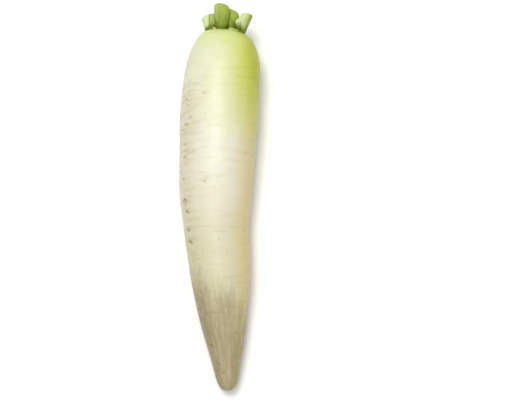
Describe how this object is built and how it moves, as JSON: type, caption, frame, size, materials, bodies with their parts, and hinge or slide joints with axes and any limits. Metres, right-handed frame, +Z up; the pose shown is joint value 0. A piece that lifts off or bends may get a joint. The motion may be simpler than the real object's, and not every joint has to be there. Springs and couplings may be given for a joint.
{
  "type": "white radish",
  "caption": "Long white radish lying on its side, slightly bowed and tapering to a blunt tip, with a ring of short trimmed green leaf stalks on its pale green crown.",
  "frame": {"origin": "centre of the object's bounding box in plan, on the surface that it rests on", "axes": "+Z up; +Y along the root towards the crown and its leaf stalks, the tip at -Y; +X to the right when seen from above with the crown away from the viewer"},
  "size_m": [0.0538, 0.2544, 0.0518],
  "materials": {
    "root_skin": "smooth thin skin with a soft moist gloss, cream white with a yellow-green shoulder",
    "stalk_green": "smooth ribbed green stalk with a soft gloss"
  },
  "bodies": {
    "root": {"root": "root_skin", "leaf_stalk_1": "stalk_green", "leaf_stalk_2": "stalk_green", "leaf_stalk_3": "stalk_green", "leaf_stalk_4": "stalk_green", "leaf_stalk_5": "stalk_green", "leaf_stalk_6": "stalk_green", "leaf_stalk_7": "stalk_green", "leaf_stalk_8": "stalk_green", "leaf_stalk_9": "stalk_green", "leaf_stalk_10": "stalk_green"}
  },
  "joints": []
}
